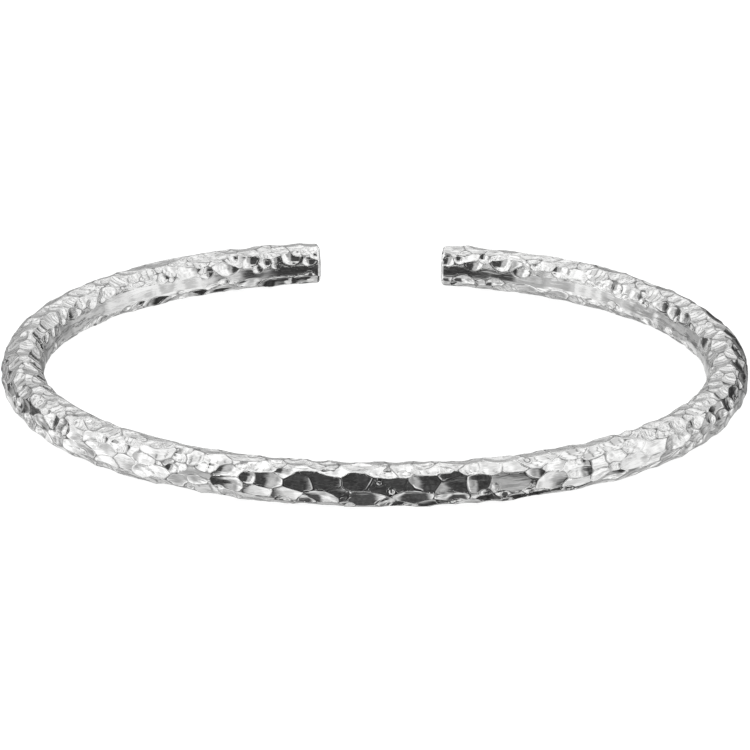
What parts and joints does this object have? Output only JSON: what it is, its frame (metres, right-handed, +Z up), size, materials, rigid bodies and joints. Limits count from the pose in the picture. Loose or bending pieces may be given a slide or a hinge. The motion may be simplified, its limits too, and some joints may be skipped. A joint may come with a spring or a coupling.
{
  "type": "open cuff bangle",
  "caption": "Open oval cuff bangle bent from one round silver rod, hammered all over but for a smooth inner side, with plain cut ends.",
  "frame": {"origin": "centre of the oval that the wrist goes through, on the surface that the cuff lies on", "axes": "+X across the wrist, towards the right-hand side of the cuff as it is worn gap down; +Y towards the gap; +Z up, square to the plane of the cuff"},
  "size_m": [0.0679, 0.0575, 0.0039],
  "materials": {
    "polished_silver": "polished"
  },
  "bodies": {
    "root": {"hammered_rod": "polished_silver"}
  },
  "joints": []
}
